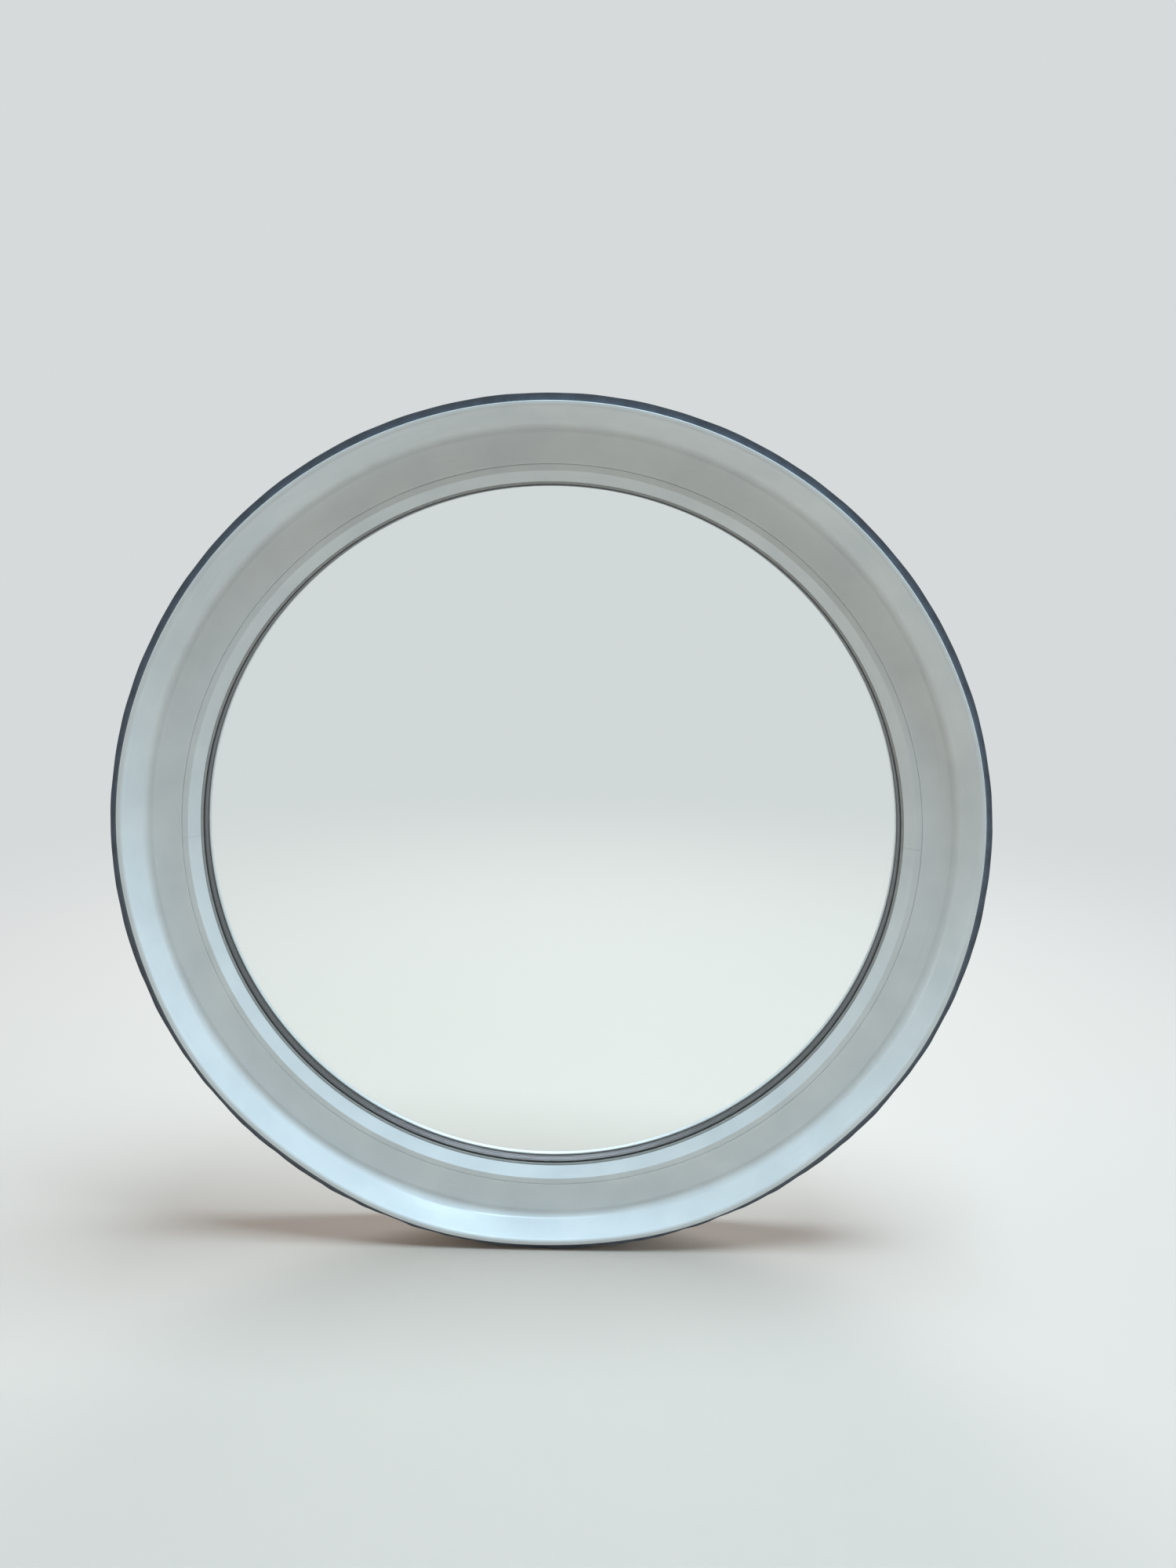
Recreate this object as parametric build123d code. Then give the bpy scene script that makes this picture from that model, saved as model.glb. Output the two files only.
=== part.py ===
from build123d import *
import os
from math import degrees, hypot, radians

# A fixed round window. X points right as seen from the room, Y from the room to the outdoors, Z up.
# The origin is the centre of the ring, halfway through the depth of the frame. Sizes are in mm.

# The frame's ring profile
frame_radius = 590.0
frame_depth = 102.0
profile_width = 104.5
rim_height = 38.0
rim_width = 7.0
rim_chamfer = 3.0
band_width = 29.0
cove_radius = 10.0
face_wall = 3.0
web = 2.0
lip_overlap = 0.5
lip_land = 8.0
lip_bevel = 15.0

# The grooves round the outside that the fixing clips hook into
clip_groove_depth = 3.0
clip_groove_width = 13.0
clip_groove_setback = 17.0

# The glazing bead, snapped into the frame from the room in two halves that meet at the sides
bead_flat = 8.7
bead_bevel = 14.5
bead_wall = 2.0
bead_joint = 0.3
hook_reach = 3.2
hook_height = 2.5
hook_slope = 2.8
snap_gap = 0.2

# The sealed glazing unit and its gaskets
pane_thickness = 4.0
cavity_width = 16.0
inner_gasket_thickness = 1.5
inner_gasket_show = 4.0
outer_gasket_thickness = 3.0
gasket_width = 10.0
spacer_height = 6.5
spacer_wall = 0.8
edge_seal_depth = 5.0
connector_length = 60.0
bore_gap = 0.2

# The blocks that carry and centre the unit
edge_clearance = 5.5
bridge_thickness = 2.0
block_length = 100.0
bridge_length = 110.0
bridge_channel_width = 12.0
bridge_channel_depth = 1.0
setting_angles = (-30.0, 30.0)
location_angles = (-150.0, -90.0, 90.0, 150.0)

# Drainage of the rebate, measured from the lowest point
drain_length = 28.0
drain_height = 5.0
inlet_angles = (-14.0, 14.0)
outlet_angles = (-5.0, 5.0)

# The sealant in the joint round the frame
sealant_width = 10.0
sealant_depth = 10.0
sealant_setback = 5.0

# Planes along Y, from the room to the outdoors
rim_y = -frame_depth / 2
outdoor_y = frame_depth / 2
flat_y = rim_y + rim_height
nose_y = flat_y + bead_bevel
glass_y = nose_y + inner_gasket_thickness
cavity_y = glass_y + pane_thickness
outer_pane_y = cavity_y + cavity_width
unit_back_y = outer_pane_y + pane_thickness
lip_y = unit_back_y + outer_gasket_thickness
shoulder_y = nose_y + snap_gap

# Radii, from the glass outwards
sight_radius = frame_radius - profile_width
lip_radius = sight_radius - lip_overlap
nose_radius = sight_radius + inner_gasket_show
bead_radius = nose_radius + bead_bevel + bead_flat
seat_radius = bead_radius + snap_gap
undercut_radius = seat_radius + hook_reach
spacer_radius = sight_radius + spacer_height
glass_radius = spacer_radius + edge_seal_depth
rebate_radius = glass_radius + edge_clearance
main_radius = rebate_radius + web
foot_radius = frame_radius - band_width
chamber_radius = frame_radius - clip_groove_depth - web


def ring(points, hollow=None, arc=360.0, start=0.0):
    """Carry an outline of (radius, y) corners, less a hollow, round Y from start through arc degrees."""
    outline = make_face(Polyline(*points, close=True))
    if hollow:
        outline -= make_face(Polyline(*hollow, close=True))
    return Rot(0, start, 0) * revolve(outline, Axis.Y, arc)


def sector(points, middle, length, radius, hollow=None):
    """A stretch of ring of the given length at radius, its middle an angle from the lowest point."""
    arc = degrees(length / radius)
    return ring(points, hollow, arc, 90.0 + middle - arc / 2)


def box_section(inner, outer, near, far):
    """The corners of a rectangular section between two radii and two Y planes."""
    return [(inner, near), (outer, near), (outer, far), (inner, far)]


def frame_outline():
    """The closed outer contour of the frame profile, its band running into the flat in a cove."""
    groove_y = rim_y + clip_groove_setback
    catch_y = nose_y - hook_height - snap_gap
    section = make_face(
        Polyline(
            (seat_radius, flat_y),
            (seat_radius, catch_y - hook_slope),
            (undercut_radius, catch_y),
            (undercut_radius, shoulder_y),
            (rebate_radius, shoulder_y),
            (rebate_radius, lip_y),
            (lip_radius, lip_y),
            (lip_radius, lip_y + lip_land),
            (lip_radius + lip_bevel, outdoor_y),
            (frame_radius, outdoor_y),
            (frame_radius, groove_y + clip_groove_width),
            (frame_radius - clip_groove_depth, groove_y + clip_groove_width),
            (frame_radius - clip_groove_depth, groove_y),
            (frame_radius, groove_y),
            (frame_radius, rim_y + rim_chamfer),
            (frame_radius - rim_chamfer, rim_y),
            (frame_radius - rim_width, rim_y),
            (foot_radius, flat_y),
            close=True,
        )
    )
    foot = section.vertices().sort_by_distance((foot_radius, flat_y, 0))[0]
    return fillet(foot, cove_radius)


def band_chamber():
    """The chamber behind the flat and the sloping band, one wall inside both."""
    rise = rim_height
    run = band_width - rim_width
    floor_y = flat_y + face_wall
    shift = face_wall * (hypot(rise, run) - run) / rise
    apex_y = floor_y - (chamber_radius - foot_radius - shift) * rise / run
    inner = undercut_radius + web
    return [
        (inner, floor_y),
        (foot_radius + shift, floor_y),
        (chamber_radius, apex_y),
        (chamber_radius, shoulder_y),
        (inner, shoulder_y),
    ]


def lip_chamber():
    """The chamber inside the outer lip, which follows the lip's bevel."""
    inner = lip_radius + face_wall
    return [
        (inner, lip_y + web),
        (rebate_radius, lip_y + web),
        (rebate_radius, outdoor_y - face_wall),
        (inner, lip_y + lip_land - web),
    ]


def drain_slots():
    """The cutters that let water from the rebate into the main chamber and from there outdoors."""
    low = unit_back_y - drain_height
    inlet = box_section(rebate_radius - web, main_radius + web, low, unit_back_y)
    outlet_radius = chamber_radius - face_wall - drain_height
    outlet = box_section(
        outlet_radius, outlet_radius + drain_height, outdoor_y - 2 * face_wall, outdoor_y + face_wall
    )
    inlets = [sector(inlet, angle, drain_length, rebate_radius) for angle in inlet_angles]
    outlets = [sector(outlet, angle, drain_length, outlet_radius) for angle in outlet_angles]
    return inlets + outlets


def outer_frame():
    """The bent and welded profile ring: three chambers, the bead's seat, the rebate and the lip."""
    chambers = [
        band_chamber(),
        box_section(main_radius, chamber_radius, shoulder_y + web, outdoor_y - face_wall),
        lip_chamber(),
    ]
    section = frame_outline()
    for corners in chambers:
        section -= make_face(Polyline(*corners, close=True))
    return revolve(section, Axis.Y) - drain_slots()


def glazing_bead(middle):
    """Half the hollow bead ring: its hook lies under the frame's seat, its nose presses on the gasket."""
    outline = [
        (bead_radius, flat_y),
        (nose_radius + bead_bevel, flat_y),
        (nose_radius, nose_y),
        (undercut_radius - snap_gap, nose_y),
        (undercut_radius - snap_gap, nose_y - hook_height),
        (bead_radius, nose_y - hook_height - hook_slope),
    ]
    slope_shift = bead_wall * (2**0.5 - 1)
    hollow = [
        (bead_radius - bead_wall, flat_y + bead_wall),
        (nose_radius + bead_bevel + slope_shift, flat_y + bead_wall),
        (nose_radius + bead_wall * 2 + slope_shift, nose_y - bead_wall),
        (bead_radius - bead_wall, nose_y - bead_wall),
    ]
    length = radians(180.0) * nose_radius - bead_joint
    return sector(outline, middle, length, nose_radius, hollow)


def inner_gasket():
    """The grey lip between the bead's nose and the inner pane, sloping to the sight line."""
    back = nose_radius + gasket_width - inner_gasket_show
    return ring(
        [
            (back, nose_y),
            (nose_radius, nose_y),
            (sight_radius, glass_y),
            (back, glass_y),
        ]
    )


def outer_gasket():
    """The dark wedge gasket on the outer lip, its tip on the outer pane at the sight line."""
    back = sight_radius + gasket_width
    return ring([(sight_radius, unit_back_y), (sight_radius, lip_y), (back, lip_y)])


def pane(near):
    """A glass disc whose room side lies at near."""
    return ring(box_section(0, glass_radius, near, near + pane_thickness))


def bar_section(inset):
    """The corners of the spacer bar's section, set in all round."""
    return box_section(
        sight_radius + inset, spacer_radius - inset, cavity_y + inset, outer_pane_y - inset
    )


def spacer_bar():
    """The hollow bar, bent to a ring, that holds the panes apart."""
    return ring(bar_section(0), bar_section(spacer_wall))


def spacer_connector():
    """The plug in the bar's bore where its two ends meet, at the top."""
    return sector(bar_section(spacer_wall + bore_gap), 180.0, connector_length, sight_radius)


def desiccant():
    """The drying fill in the rest of the bar's bore."""
    length = radians(360.0) * sight_radius - connector_length
    return sector(bar_section(spacer_wall + bore_gap), 0.0, length, sight_radius)


def edge_seal():
    """The seal that closes the unit's edge, from the bar to the edge of the glass."""
    return ring(box_section(spacer_radius, glass_radius, cavity_y, outer_pane_y))


def blocks(angles):
    """Blocks as wide as the unit, between its edge and their bridges."""
    section = box_section(glass_radius, rebate_radius - bridge_thickness, glass_y, unit_back_y)
    return [sector(section, angle, block_length, glass_radius) for angle in angles]


def bridges():
    """Bridges on the rebate floor, with a channel below that lets water pass."""
    section = box_section(rebate_radius - bridge_thickness, rebate_radius, glass_y, lip_y)
    channel = box_section(rebate_radius - bridge_channel_depth, rebate_radius, glass_y, lip_y)
    found = []
    for angle in sorted(setting_angles + location_angles):
        body = sector(section, angle, bridge_length, rebate_radius)
        found.append(body - sector(channel, angle, bridge_channel_width, rebate_radius))
    return found


def perimeter_sealant():
    """The sealant that fills the joint round the frame on the room side."""
    near = rim_y + sealant_setback
    return ring(box_section(frame_radius, frame_radius + sealant_width, near, near + sealant_depth))


def window():
    """Every piece by name, in its place."""
    return {
        "outer_frame": outer_frame(),
        "upper_bead": glazing_bead(180.0),
        "lower_bead": glazing_bead(0.0),
        "inner_gasket": inner_gasket(),
        "inner_pane": pane(glass_y),
        "spacer_bar": spacer_bar(),
        "spacer_connector": spacer_connector(),
        "desiccant": desiccant(),
        "outer_pane": pane(outer_pane_y),
        "edge_seal": edge_seal(),
        "outer_gasket": outer_gasket(),
        "setting_blocks": Compound(children=blocks(setting_angles)),
        "location_blocks": Compound(children=blocks(location_angles)),
        "block_bridges": Compound(children=bridges()),
        "perimeter_sealant": perimeter_sealant(),
    }


os.makedirs("parts", exist_ok=True)
for name, shape in window().items():
    shape.label = name
    export_step(shape, f"parts/{name}.step")
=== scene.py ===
from math import radians
import bpy
import numpy as np
from mathutils import Matrix, Vector


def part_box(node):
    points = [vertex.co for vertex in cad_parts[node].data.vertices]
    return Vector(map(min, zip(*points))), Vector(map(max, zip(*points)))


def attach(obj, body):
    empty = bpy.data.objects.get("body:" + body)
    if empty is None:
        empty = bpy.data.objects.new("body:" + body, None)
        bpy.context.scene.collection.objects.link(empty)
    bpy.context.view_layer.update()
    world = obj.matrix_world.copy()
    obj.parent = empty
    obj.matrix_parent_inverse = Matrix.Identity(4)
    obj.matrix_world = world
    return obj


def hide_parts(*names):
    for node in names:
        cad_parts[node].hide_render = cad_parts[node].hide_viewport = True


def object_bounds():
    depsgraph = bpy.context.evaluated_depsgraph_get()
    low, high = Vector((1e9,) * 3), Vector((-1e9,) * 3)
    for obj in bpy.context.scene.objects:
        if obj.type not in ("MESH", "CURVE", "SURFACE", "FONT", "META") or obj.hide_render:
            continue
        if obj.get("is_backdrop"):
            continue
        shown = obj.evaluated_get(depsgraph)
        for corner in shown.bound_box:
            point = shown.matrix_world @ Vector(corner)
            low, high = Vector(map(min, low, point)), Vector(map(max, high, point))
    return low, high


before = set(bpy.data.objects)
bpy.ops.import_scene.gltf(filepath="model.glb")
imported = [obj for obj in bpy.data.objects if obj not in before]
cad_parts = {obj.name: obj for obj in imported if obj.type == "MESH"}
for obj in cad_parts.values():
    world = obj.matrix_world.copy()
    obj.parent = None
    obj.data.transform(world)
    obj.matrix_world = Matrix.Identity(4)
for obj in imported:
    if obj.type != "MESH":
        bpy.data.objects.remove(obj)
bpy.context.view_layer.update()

# A fixed round window. Every shape is a section of (radius, y) points in mm, carried round the
# Y axis. Angles run from the lowest point of the ring towards +X, the right as seen from the room.
MM = 0.001


def reach(node):
    """The outer radius of a ring node and its near and far Y planes, in mm."""
    low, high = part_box(node)
    return high.x / MM, low.y / MM, high.y / MM


# Planes and radii that the solids give
frame_radius, rim_y, outdoor_y = reach("outer_frame")
hook_radius, flat_y, nose_y = reach("lower_bead")
spacer_radius, cavity_y, outer_pane_y = reach("spacer_bar")
glass_y = reach("inner_pane")[1]
unit_back_y, lip_y = reach("outer_gasket")[1:]
sealant_radius, sealant_near, sealant_far = reach("perimeter_sealant")

# The window's own sizes that the boxes don't give
spacer_height = 6.5
inner_gasket_show = 4.0
gasket_width = 10.0
bead_flat = 8.7
bead_joint = 0.3
hook_height = 2.5
hook_slope = 2.8
snap_gap = 0.2
rim_width = 7.0
band_width = 29.0
lip_overlap = 0.5
lip_land = 8.0
lip_bevel = 15.0
rebate_depth = 17.0
clip_groove_depth = 3.0
clip_groove_width = 13.0
clip_groove_setback = 17.0
face_wall = 3.0
web = 2.0
drain_length = 28.0
drain_height = 5.0
outlet_angles = (-5.0, 5.0)
outlet_sink = 20.0

sight_radius = spacer_radius - spacer_height
nose_radius = sight_radius + inner_gasket_show
bevel_radius = nose_radius + nose_y - flat_y
bead_radius = bevel_radius + bead_flat
lip_radius = sight_radius - lip_overlap
rebate_radius = sight_radius + rebate_depth
foot_radius = frame_radius - band_width
outlet_radius = frame_radius - clip_groove_depth - web - face_wall - drain_height
outlet_half_turn = drain_length / outlet_radius / 2

# Soft edges and the trough at the band's foot, which the solids leave plain
edge_round = 1.1
trough_depth = 2.2
trough_width = 8.0

# The wave that bending leaves in the band: its height, how many go round, the angle where it
# reaches furthest in, and the radii and the heights over the flat between which it grows
bend_height = 1.6
bend_count = 9
bend_middle = 3.0
bend_radii = (528.0, 556.0)
bend_rise = (1.0, 8.0)

# The spacer bar's shoulders and the grooves in its sight face, and the butyl beside it
shoulder_height = 1.5
shoulder_width = 2.5
groove_depth = 0.35
groove_half_width = 0.5
groove_setback = 3.5
butyl_thickness = 0.25
butyl_setback = 0.1
butyl_stop = 1.7
touch_gap = 0.04

# The sealant's face: how far it laps on the frame and stays short of its outer edge, its hollow,
# its climb up the frame and its narrowing at the lowest point, and how far edge and skin wander
sealant_lap = 0.2
sealant_margin = 0.3
tool_setback = 0.6
tool_hollow = 2.4
sealant_climb = 4.5
sealant_narrowing = 2.6
sealant_wander = 0.5
sealant_lumps = 0.35
sealant_skin = 6.0

# Steps round the ring, and round half of it for the bead. The frame has fewer, so that it stays
# under 200,000 triangles.
frame_steps = 560
bead_steps = 361
ring_steps = 720
sealant_steps = 1440


def rounded(corners, steps=5, support=0.25):
    """Round a closed outline of (radius, y, rounding) corners.

    An arc of radius r that touches both sides of a corner starts r tan(turn / 2) before it. Its
    points are the centre plus r times the heading turned a quarter, and one more point on each
    side keeps the flats flat.
    """
    table = np.array(corners, float)
    point, size = table[:, :2], table[:, 2]
    side = np.roll(point, -1, axis=0) - point
    side /= np.linalg.norm(side, axis=1, keepdims=True)
    before = np.roll(side, 1, axis=0)
    cross = before[:, 0] * side[:, 1] - before[:, 1] * side[:, 0]
    turn = np.arctan2(cross, (before * side).sum(axis=1))
    setback = size * np.tan(np.abs(turn) / 2)
    start = point - before * setback[:, None]
    left = np.stack([-before[:, 1], before[:, 0]], axis=1) * np.sign(turn)[:, None]
    centre = start + left * size[:, None]
    first_heading = np.arctan2(before[:, 1], before[:, 0])[:, None]
    heading = first_heading + turn[:, None] * np.linspace(0, 1, steps)
    spoke = np.stack([np.sin(heading), -np.cos(heading)], axis=2)
    curve = centre[:, None] + spoke * (size * np.sign(turn))[:, None, None]
    first = curve[:, :1] - before[:, None] * support
    last = curve[:, -1:] + side[:, None] * support
    outline = np.concatenate([first, curve, last], axis=1).reshape(-1, 2)
    step = np.linalg.norm(outline - np.roll(outline, 1, axis=0), axis=1)
    least_step = 1e-4
    return outline[step > least_step]


def round_angles(count, extra=()):
    """Evenly spaced angles in radians round the ring, with extra ones given in degrees."""
    even = np.linspace(-np.pi, np.pi, count, endpoint=False)
    return np.unique(np.concatenate([even, np.radians(extra)]))


def ring(name, angles, section, material, nodes=(), shift=None):
    """Carry a closed section round the Y axis: x = r sin a, z = -r cos a at every angle a.

    shift gives how far each point of the grid moves in radius and in y. The section is turned
    to run clockwise, so that every face points outwards. Angles that don't go all the way
    round leave two ends, and each is closed by one face.
    """
    before = np.roll(section, 1, axis=0)
    area = (before[:, 0] * section[:, 1] - section[:, 0] * before[:, 1]).sum()
    section = section if area < 0 else section[::-1]
    radius = np.repeat(section[None, :, 0], len(angles), axis=0)
    depth = np.repeat(section[None, :, 1], len(angles), axis=0)
    turn = angles[:, None]
    if shift is not None:
        outward, along = shift(turn, radius, depth)
        radius, depth = radius + outward, depth + along
    places = np.stack([radius * np.sin(turn), depth, -radius * np.cos(turn)], axis=2)
    index = np.arange(radius.size).reshape(radius.shape)
    ahead = np.roll(index, -1, axis=0)
    quads = np.stack([index, ahead, np.roll(ahead, -1, axis=1), np.roll(index, -1, axis=1)], axis=2)
    ends = []
    half_ring = radians(200)
    if angles[-1] - angles[0] < half_ring:
        quads = quads[:-1]
        ends = [index[0].tolist(), index[-1, ::-1].tolist()]
    mesh = bpy.data.meshes.new(name)
    mesh.from_pydata(places.reshape(-1, 3) * MM, [], quads.reshape(-1, 4).tolist() + ends)
    mesh.polygons.foreach_set("use_smooth", np.ones(len(mesh.polygons), bool))
    mesh.set_sharp_from_angle(angle=radians(40))
    mesh.materials.append(material)
    piece = bpy.data.objects.new(name, mesh)
    bpy.context.scene.collection.objects.link(piece)
    if nodes:
        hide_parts(*nodes)
    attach(piece, "root")


def fade(value, low, high):
    """Nought below low, one above high, and t squared times (3 - 2 t) between."""
    t = np.clip((value - low) / (high - low), 0, 1)
    return t * t * (3 - 2 * t)


def bend_wave(angle):
    """The slow wave that bending leaves: -height cos(count t), faded by cos(t / 2) squared."""
    t = angle - radians(bend_middle)
    return -bend_height * np.cos(bend_count * t) * np.cos(t / 2) ** 2


def ripple(angle, counts):
    """An uneven line round the ring: the sum of sin(n t + 1.7 n) over the counts n, evened out."""
    waves = [np.sin(count * angle + 1.7 * count) / len(counts) ** 0.5 for count in counts]
    return sum(waves)


def frame_section():
    """The frame's contour: soft rim, sloping band, shallow trough, flat, bead seat, rebate and lip.

    The two plain corners on the outdoor face bound the drain outlets.
    """
    groove = rim_y + clip_groove_setback
    inner = frame_radius - clip_groove_depth
    seat = bead_radius + snap_gap
    undercut = hook_radius + snap_gap
    catch = nose_y - hook_height - snap_gap
    return rounded(
        [
            (seat, flat_y, edge_round),
            (seat, catch - hook_slope, 0.1),
            (undercut, catch, 0.1),
            (undercut, nose_y + snap_gap, 0.1),
            (rebate_radius, nose_y + snap_gap, 0.1),
            (rebate_radius, lip_y, 0.1),
            (lip_radius, lip_y, 0.8),
            (lip_radius, lip_y + lip_land, 1.2),
            (lip_radius + lip_bevel, outdoor_y, 1.2),
            (outlet_radius, outdoor_y, 0),
            (outlet_radius + drain_height, outdoor_y, 0),
            (frame_radius, outdoor_y, 1.0),
            (frame_radius, groove + clip_groove_width, 0.3),
            (inner, groove + clip_groove_width, 0.3),
            (inner, groove, 0.3),
            (frame_radius, groove, 0.3),
            (frame_radius, rim_y, 0.8),
            (frame_radius - rim_width, rim_y, 5.0),
            (foot_radius + 3.0, flat_y + trough_depth, 10.0),
            (foot_radius - trough_width, flat_y, 2.0),
        ],
        steps=7,
        support=0.02,
    )


def frame_shift(angle, radius, depth):
    """Move the band by its bend wave, and sink the drain outlets straight into the outdoor face."""
    band = fade(radius, *bend_radii) * fade(flat_y - depth, *bend_rise)
    margin = 0.01
    outer = outlet_radius + drain_height
    sunk = sum(np.abs(angle - radians(place)) < outlet_half_turn for place in outlet_angles) > 0
    sunk = sunk & (radius > outlet_radius + margin) & (radius < outer - margin)
    sunk = sunk & (depth > outdoor_y - margin)
    return band * bend_wave(angle), -outlet_sink * sunk


def drain_edges():
    """Angles in degrees just inside and just outside both ends of each drain outlet."""
    half = np.degrees(outlet_half_turn)
    steps = [side * (half + step) for side in (-1, 1) for step in (-0.001, 0.001)]
    return [place + step for place in outlet_angles for step in steps]


def bead_section():
    """The bead's contour: flat, bevel down to the nose, and the hook under the frame's seat."""
    return rounded(
        [
            (bead_radius, flat_y, edge_round),
            (bevel_radius, flat_y, 1.0),
            (nose_radius, nose_y, 0.6),
            (hook_radius, nose_y, 0.2),
            (hook_radius, nose_y - hook_height, 0.2),
            (bead_radius, nose_y - hook_height - hook_slope, 0.2),
        ],
        steps=7,
    )


def inner_gasket_section():
    """The grey lip: a slope from the bead's nose, then a steep drop to its tip on the glass.

    The tip stands back from the sight line, so that a dark line of the spacer bar shows by it.
    """
    back = nose_radius + gasket_width - inner_gasket_show
    tip = sight_radius + 1.5
    return rounded(
        [
            (back, nose_y + touch_gap, 0.05),
            (nose_radius + 0.2, nose_y + touch_gap, 0.3),
            (tip + 0.7, nose_y + 0.45, 0.4),
            (tip, glass_y - touch_gap, 0.2),
            (back, glass_y - touch_gap, 0.05),
        ],
        support=0.05,
    )


def outer_gasket_section():
    """The black wedge gasket: its soft tip stands a little off the lip, on the outer pane."""
    near = unit_back_y + touch_gap
    far = lip_y - touch_gap
    back = sight_radius + gasket_width
    return rounded(
        [
            (sight_radius + 0.3, near, 0.3),
            (sight_radius - 0.1, near + 1.6, 0.6),
            (sight_radius + 0.6, far, 0.3),
            (back, far, 0.1),
            (back, near, 0.1),
        ],
        support=0.05,
    )


def spacer_section():
    """The spacer bar: shoulders at its back, and two fine grooves along its sight face."""
    near = cavity_y + butyl_thickness + touch_gap
    far = outer_pane_y - butyl_thickness - touch_gap
    shoulder = spacer_radius - shoulder_height
    back = spacer_radius - touch_gap
    grooves = []
    for middle in (far - groove_setback, near + groove_setback):
        grooves += [
            (sight_radius, middle + groove_half_width, 0.1),
            (sight_radius + groove_depth, middle + groove_half_width / 2, 0.1),
            (sight_radius + groove_depth, middle - groove_half_width / 2, 0.1),
            (sight_radius, middle - groove_half_width, 0.1),
        ]
    return rounded(
        [
            (shoulder, near, 0.3),
            (back, near + shoulder_width, 0.3),
            (back, far - shoulder_width, 0.3),
            (shoulder, far, 0.3),
            (sight_radius, far, 0.3),
            *grooves,
            (sight_radius, near, 0.3),
        ],
        steps=4,
        support=0.03,
    )


def butyl_section(pane_side):
    """A thin strip of seal between the spacer's side and a pane, from the plane nearer the room."""
    near = pane_side + touch_gap / 2
    far = pane_side + butyl_thickness - touch_gap / 2
    inner, outer = sight_radius + butyl_setback, spacer_radius - butyl_stop
    return np.array([(inner, near), (outer, near), (outer, far), (inner, far)])


def sealant_section():
    """The joint sealant: its room side is hollowed by depth t (1 - t), t being the way across."""
    across = np.linspace(0, 1, 15)
    inner, outer = frame_radius - sealant_lap, sealant_radius - sealant_margin
    hollow = sealant_near + tool_setback + tool_hollow * across * (1 - across)
    near = np.stack([inner + across * (outer - inner), hollow], axis=1)
    back = sealant_far - 0.2
    return np.concatenate([near, np.array([(outer, back), (inner, back)])])


def sealant_shift(angle, radius, depth):
    """Follow the bent rim, climb it and narrow towards the bottom, and wander at the outer edge.

    The climb is cos(a / 2) squared times (1 - t) squared, t being the way across. The narrowing
    is cos(a / 2) to the power 8 times t, and ripples make the edge and the skin uneven.
    """
    across = (radius - frame_radius) / (sealant_radius - frame_radius)
    bottom = np.cos(angle / 2) ** 8
    wander = sealant_wander * ripple(angle, (23, 37, 61)) * (0.5 + bottom)
    edge = np.minimum(-sealant_narrowing * bottom + wander, 0.2)
    twist = angle + 0.02 * across
    lumps = sealant_lumps * ripple(twist, (31, 53, 89, 144)) * (0.4 + 1.6 * bottom)
    climb = sealant_climb * np.cos(angle / 2) ** 2 * (1 - across) ** 2
    skin = fade(sealant_far - depth, 0, sealant_skin)
    return bend_wave(angle) * (1 - across) + across * edge, (lumps + bottom - climb) * skin


def srgb(text):
    """A hex colour as linear values: ((v + 0.055) / 1.055) to the power 2.4.

    Below the toe at 0.04045 it is v / 12.92.
    """
    value = np.array([int(text[i:i + 2], 16) for i in (1, 3, 5)]) / 255
    return (*np.where(value > 0.04045, ((value + 0.055) / 1.055) ** 2.4, value / 12.92), 1.0)


def add(tree, kind, inputs=None, **settings):
    """Add a node with its settings; an input is a value or another node's output."""
    made = tree.nodes.new(kind)
    for name, value in settings.items():
        setattr(made, name, value)
    for socket, value in (inputs or {}).items():
        if isinstance(value, bpy.types.NodeSocket):
            tree.links.new(value, made.inputs[socket])
        else:
            made.inputs[socket].default_value = value
    return made


def new_material(name, **values):
    """A material with one Principled shader whose sockets take the values."""
    material = bpy.data.materials.new(name)
    material.use_nodes = True
    shader = material.node_tree.nodes["Principled BSDF"]
    for socket, value in values.items():
        shader.inputs[socket.replace("_", " ")].default_value = value
    return material, material.node_tree, shader


def ring_place(tree):
    """Coordinates that follow the ring: radius, depth, and x shrunk, which draws lines out."""
    shrink = 0.02
    place = add(tree, "ShaderNodeTexCoord").outputs["Object"]
    parts = add(tree, "ShaderNodeSeparateXYZ", {0: place}).outputs
    flat = add(tree, "ShaderNodeCombineXYZ", {0: parts[0], 1: parts[2]}).outputs[0]
    radius = add(tree, "ShaderNodeVectorMath", {0: flat}, operation="LENGTH").outputs["Value"]
    inputs = {0: parts[0], 1: shrink}
    along = add(tree, "ShaderNodeMath", inputs, operation="MULTIPLY").outputs[0]
    return add(tree, "ShaderNodeCombineXYZ", {0: radius, 1: parts[1], 2: along}).outputs[0]


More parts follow.
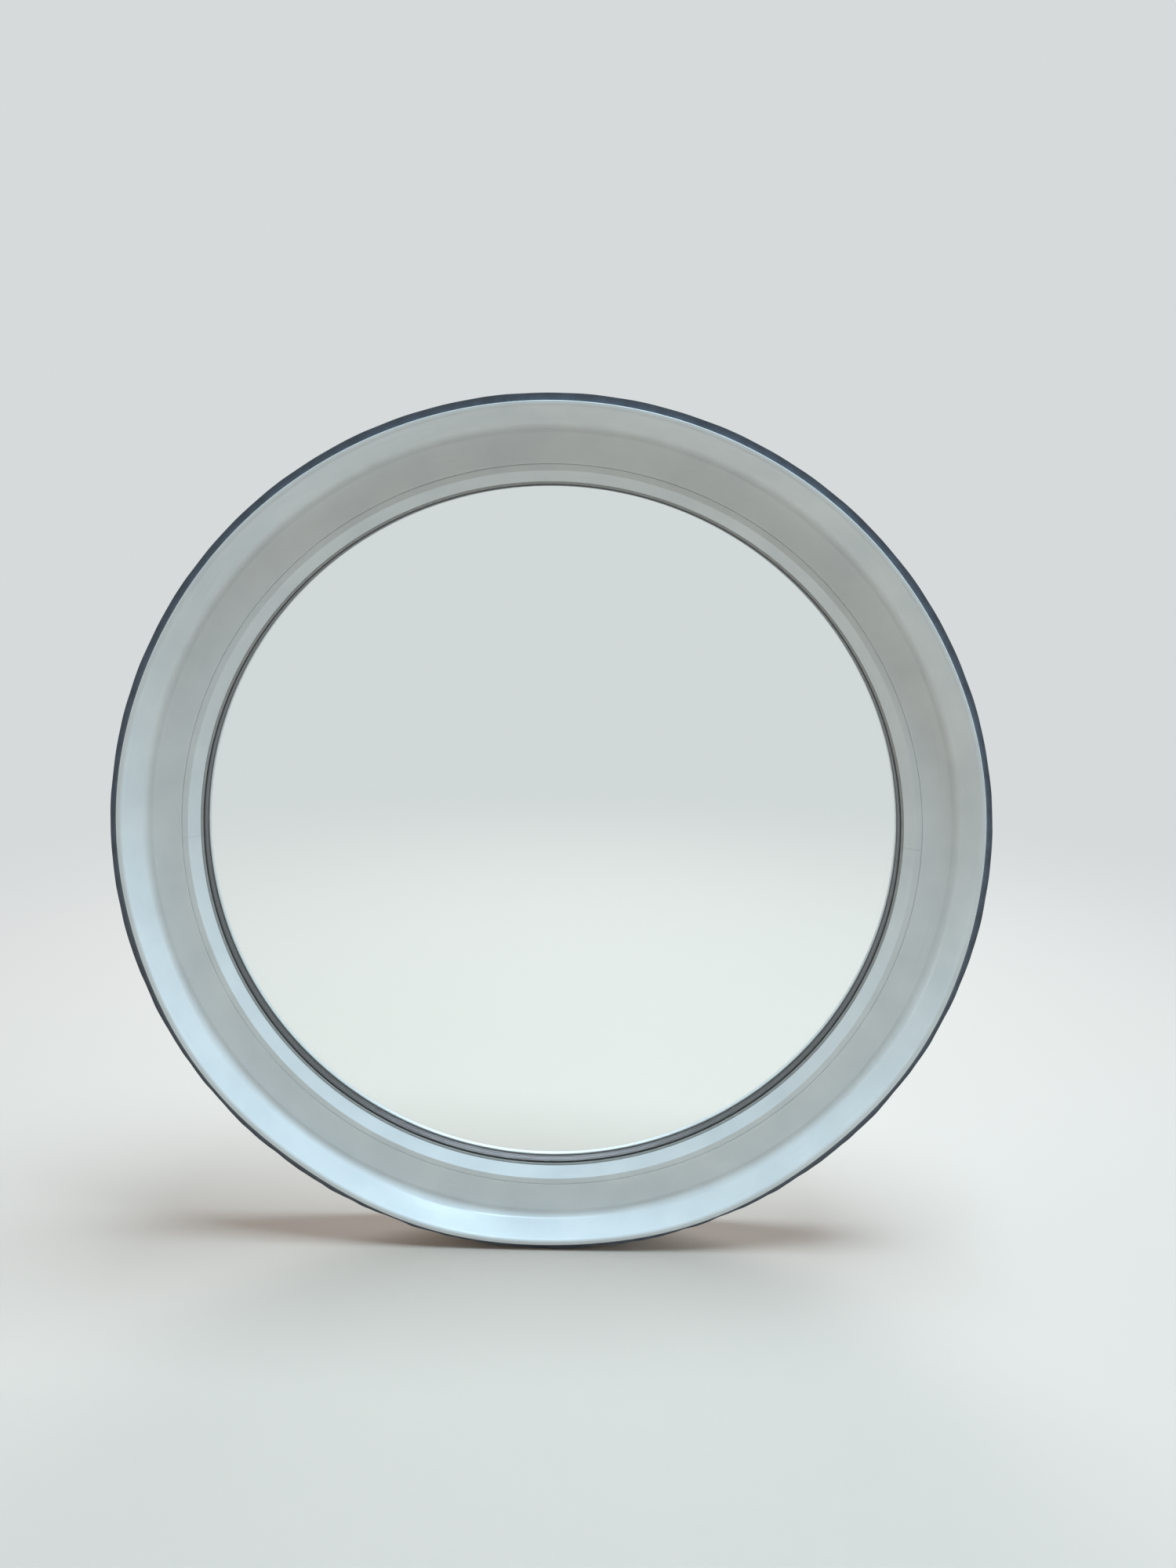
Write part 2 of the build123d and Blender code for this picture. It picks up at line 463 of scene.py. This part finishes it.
def finish(name, patterns, tint=None, gloss=None, relief=None, **values):
    """A material whose tint, roughness and relief each follow a pattern of noise.

    patterns gives each one's coordinates (ring or piece), grain in mm and detail. tint and gloss
    name a pattern, the two levels of it that count, and the two colours or roughnesses that it
    runs between. relief names a pattern and its depth in mm.
    """
    material, tree, shader = new_material(name, **values)
    level = {}
    for pattern, (follows, grain, detail) in patterns.items():
        if follows == "ring":
            place = ring_place(tree)
        else:
            place = add(tree, "ShaderNodeTexCoord").outputs["Object"]
        inputs = {"Vector": place, "Scale": 1 / (grain * MM), "Detail": detail}
        level[pattern] = add(tree, "ShaderNodeTexNoise", inputs).outputs[0]
    if tint:
        pattern, low, high, first, second = tint
        inputs = {"Value": level[pattern], 1: low, 2: high}
        share = add(tree, "ShaderNodeMapRange", inputs).outputs[0]
        inputs = {0: share, 6: srgb(first), 7: srgb(second)}
        colour = add(tree, "ShaderNodeMix", inputs, data_type="RGBA").outputs[2]
        tree.links.new(colour, shader.inputs["Base Color"])
    if gloss:
        pattern, low, high, smooth, dull = gloss
        inputs = {"Value": level[pattern], 1: low, 2: high, 3: smooth, 4: dull}
        roughness = add(tree, "ShaderNodeMapRange", inputs).outputs[0]
        tree.links.new(roughness, shader.inputs["Roughness"])
    if relief:
        pattern, depth = relief
        inputs = {"Height": level[pattern], "Strength": 1.0, "Distance": depth * MM}
        normal = add(tree, "ShaderNodeBump", inputs).outputs[0]
        tree.links.new(normal, shader.inputs["Normal"])
    return material


def upvc():
    """White window uPVC, extruded and bent: a satin skin with faint die lines and soft clouds.

    Real die lines are about 0.2 mm wide. They are drawn 1.6 mm wide, so that they show.
    """
    return finish(
        "white_extruded_upvc",
        {"die_lines": ("ring", 1.6, 3.0), "clouds": ("piece", 70.0, 3.0)},
        tint=("clouds", 0.3, 0.7, "#eceeed", "#e2e5e5"),
        gloss=("die_lines", 0.3, 0.7, 0.27, 0.36),
        relief=("die_lines", 0.02),
        IOR=1.53,
    )


def gasket(name, colour, dusty, roughness):
    """Soft extruded gasket: a dull skin with fine lines, slightly paler where dust clings.

    The real lines are finer than 0.1 mm. They are drawn 0.6 mm wide, so that they show.
    """
    return finish(
        name,
        {"dust": ("piece", 9.0, 4.0), "die_lines": ("ring", 0.6, 2.0)},
        tint=("dust", 0.45, 0.75, colour, dusty),
        gloss=("dust", 0.3, 0.7, roughness - 0.05, roughness + 0.1),
        relief=("die_lines", 0.02),
        IOR=1.5,
        Specular_IOR_Level=0.35,
    )


def float_glass():
    """Clear float glass: polished and faintly green, with a breath of dust that softens patches."""
    return finish(
        "clear_float_glass",
        {"film": ("piece", 120.0, 5.0)},
        gloss=("film", 0.45, 0.8, 0.0, 0.03),
        IOR=1.52,
        Transmission_Weight=1.0,
        Base_Color=srgb("#fcfefd"),
    )


def spacer_finish():
    """Warm-edge spacer bar of extruded plastic: a dark matt skin, grey where light glances off it.

    The skin's real grain is about 0.1 mm. It is drawn 0.8 mm wide, so that it shows.
    """
    return finish(
        "dark_warm_edge_spacer",
        {"grain": ("ring", 0.8, 2.0)},
        tint=("grain", 0.3, 0.7, "#1a2231", "#263040"),
        gloss=("grain", 0.3, 0.7, 0.36, 0.46),
        relief=("grain", 0.02),
        IOR=1.5,
    )


def joint_sealant():
    """Gunned elastic sealant: dark grey, tooled wet, so smooth patches shine among dull ones."""
    return finish(
        "grey_joint_sealant",
        {"patches": ("piece", 24.0, 3.0), "lumps": ("piece", 5.0, 4.0)},
        tint=("patches", 0.3, 0.7, "#495059", "#5a626e"),
        gloss=("patches", 0.3, 0.7, 0.32, 0.6),
        relief=("lumps", 0.35),
        IOR=1.42,
    )


def hidden_plastic(name, colour, other, grain):
    """Moulded or cast filler inside the profile: a dull, slightly mottled skin."""
    return finish(
        name,
        {"mottle": ("piece", grain, 3.0)},
        tint=("mottle", 0.3, 0.7, colour, other),
        gloss=("mottle", 0.3, 0.7, 0.5, 0.7),
        relief=("mottle", 0.1),
        IOR=1.5,
    )


def build_pieces():
    """Every ring of the window that the eye can reach, over its plain solid."""
    plastic = upvc()
    ring("frame_profile", round_angles(frame_steps, drain_edges()), frame_section(), plastic,
         ["outer_frame"], frame_shift)
    half = np.pi / 2 - bead_joint / nose_radius / 2
    halves = (("bead_below", "lower_bead", 0.0), ("bead_above", "upper_bead", np.pi))
    for name, node, middle in halves:
        angles = np.linspace(middle - half, middle + half, bead_steps)
        ring(name, angles, bead_section(), plastic, [node])
    around = round_angles(ring_steps)
    grey = gasket("grey_soft_gasket", "#a6a6a3", "#b2b2af", 0.5)
    ring("inner_lip_gasket", around, inner_gasket_section(), grey, ["inner_gasket"])
    black = gasket("black_rubber_gasket", "#17181a", "#26282a", 0.55)
    ring("outer_wedge_gasket", around, outer_gasket_section(), black,
         ["outer_gasket"])
    ring("warm_edge_spacer", around, spacer_section(), spacer_finish(), ["spacer_bar"])
    seal = hidden_plastic("butyl_seal", "#0e0e10", "#17181a", 4.0)
    ring("butyl_by_inner_pane", around, butyl_section(cavity_y), seal)
    ring("butyl_by_outer_pane", around, butyl_section(outer_pane_y - butyl_thickness), seal)
    ring("joint_sealant", round_angles(sealant_steps), sealant_section(), joint_sealant(),
         ["perimeter_sealant"], sealant_shift)


def dress(node, material):
    """Give a solid that stays as it is its finish."""
    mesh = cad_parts[node].data
    mesh.materials.clear()
    mesh.materials.append(material)


def dress_solids():
    """Finishes for the solids that show as they are or lie hidden in the profile."""
    glass = float_glass()
    for node in ("inner_pane", "outer_pane"):
        dress(node, glass)
    dress("spacer_connector", hidden_plastic("moulded_polyamide", "#303236", "#3a3c40", 3.0))
    dress("desiccant", hidden_plastic("drying_beads", "#cfc4ae", "#b3a78f", 1.2))
    dress("edge_seal", hidden_plastic("edge_sealant_cast", "#1b1b1d", "#262628", 6.0))
    blocks = hidden_plastic("moulded_polypropylene", "#33383f", "#3f454d", 8.0)
    for node in ("setting_blocks", "location_blocks", "block_bridges"):
        dress(node, blocks)


def sees_background(tree):
    """Whether a ray sees the plain background: from the camera, through glass or off gloss."""
    path = add(tree, "ShaderNodeLightPath").outputs
    seen = path["Is Camera Ray"]
    for ray in ("Is Transmission Ray", "Is Glossy Ray"):
        seen = add(tree, "ShaderNodeMath", {0: seen, 1: path[ray]}, operation="MAXIMUM").outputs[0]
    return seen


def build_world(pale):
    """An even pale surround to look at, and a weak warm light from all sides."""
    world = bpy.data.worlds.new("pale_surround")
    bpy.context.scene.world = world
    world.use_nodes = True
    tree = world.node_tree
    tree.nodes.clear()
    seen = add(tree, "ShaderNodeBackground", {"Color": pale, "Strength": 1.0}).outputs[0]
    inputs = {"Color": srgb("#f5ecdc"), "Strength": 0.168}
    fill = add(tree, "ShaderNodeBackground", inputs).outputs[0]
    inputs = {0: sees_background(tree), 1: fill, 2: seen}
    add(tree, "ShaderNodeOutputWorld", {0: add(tree, "ShaderNodeMixShader", inputs).outputs[0]})


def build_floor(pale):
    """A matt pale disc under the window: x = r cos a, y = r sin a.

    It shows plain near the window and fades into the surround away from it.
    """
    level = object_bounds()[0][2]
    radius = 14.0
    corners = 64
    turn = np.linspace(0, 2 * np.pi, corners, endpoint=False)
    height = np.full(corners, level)
    mesh = bpy.data.meshes.new("pale_floor")
    rim = np.stack([radius * np.cos(turn), radius * np.sin(turn), height], axis=1)
    mesh.from_pydata(rim, [], [list(range(corners))])
    material, tree, shader = new_material("pale_floor", Roughness=0.9, Base_Color=srgb("#c9b8ab"))
    place = add(tree, "ShaderNodeTexCoord").outputs["Object"]
    away = add(tree, "ShaderNodeVectorMath", {0: place}, operation="LENGTH").outputs["Value"]
    plain, gone = 0.5, 3.4
    inputs = {"Value": away, 1: plain, 2: gone}
    share = add(tree, "ShaderNodeMapRange", inputs, interpolation_type="SMOOTHSTEP").outputs[0]
    inputs = {0: share, 1: sees_background(tree)}
    factor = add(tree, "ShaderNodeMath", inputs, operation="MULTIPLY").outputs[0]
    glow = add(tree, "ShaderNodeEmission", {"Color": pale, "Strength": 1.0}).outputs[0]
    inputs = {0: factor, 1: shader.outputs[0], 2: glow}
    mixed = add(tree, "ShaderNodeMixShader", inputs).outputs[0]
    tree.links.new(mixed, tree.nodes["Material Output"].inputs["Surface"])
    mesh.materials.append(material)
    floor = bpy.data.objects.new("pale_floor", mesh)
    bpy.context.scene.collection.objects.link(floor)
    floor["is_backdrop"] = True


def lamp(name, place, target, size, power, colour):
    """A square soft light that faces a point; sizes in metres, power in watts."""
    light = bpy.data.lights.new(name, "AREA")
    light.size = size
    light.energy = power
    light.color = srgb(colour)[:3]
    holder = bpy.data.objects.new(name, light)
    away = Vector(place) - Vector(target)
    turn = away.to_track_quat("Z", "Y").to_matrix().to_4x4()
    holder.matrix_world = Matrix.Translation(place) @ turn
    bpy.context.scene.collection.objects.link(holder)


def build_stage():
    """A pale floor and surround, and soft light: most of it from above the room side.

    The lamp outdoors stands where the spacer bar mirrors it at the bottom of the ring.
    """
    pale = srgb("#d6dadb")
    build_world(pale)
    build_floor(pale)
    lamp("overhead", (1.3, -0.35, 6.9), (0, -0.2, -0.6), 4.1, 850, "#caebff")
    lamp("outdoors", (0.0, 3.2, 1.6), (0, 0, -0.2), 1.8, 80, "#e6f1ff")
    lamp("side_right", (7.2, -0.15, 1.3), (0, 0, 0), 3.8, 225, "#d4eeff")
    lamp("side_left", (-7.2, -0.15, 1.3), (0, 0, 0), 3.8, 185, "#e8f4f6")


def build_camera():
    """The viewpoint: a little right of the axis and above it, looking down with a slight roll."""
    data = bpy.data.cameras.new("camera")
    data.sensor_fit = "VERTICAL"
    data.sensor_height = 36.0
    data.lens = 30.6
    camera = bpy.data.objects.new("camera", data)
    yaw = Matrix.Rotation(radians(0.33), 4, "Z")
    pitch = Matrix.Rotation(radians(-11.49), 4, "X")
    roll = Matrix.Rotation(radians(-0.91), 4, "Y")
    level = Matrix.Rotation(radians(90), 4, "X")
    place = Matrix.Translation((0.06, -1.8065, 0.45))
    camera.matrix_world = place @ yaw @ pitch @ roll @ level
    bpy.context.scene.collection.objects.link(camera)
    bpy.context.scene.camera = camera


build_pieces()
dress_solids()
build_stage()
build_camera()
bpy.context.scene.view_settings.view_transform = "Standard"
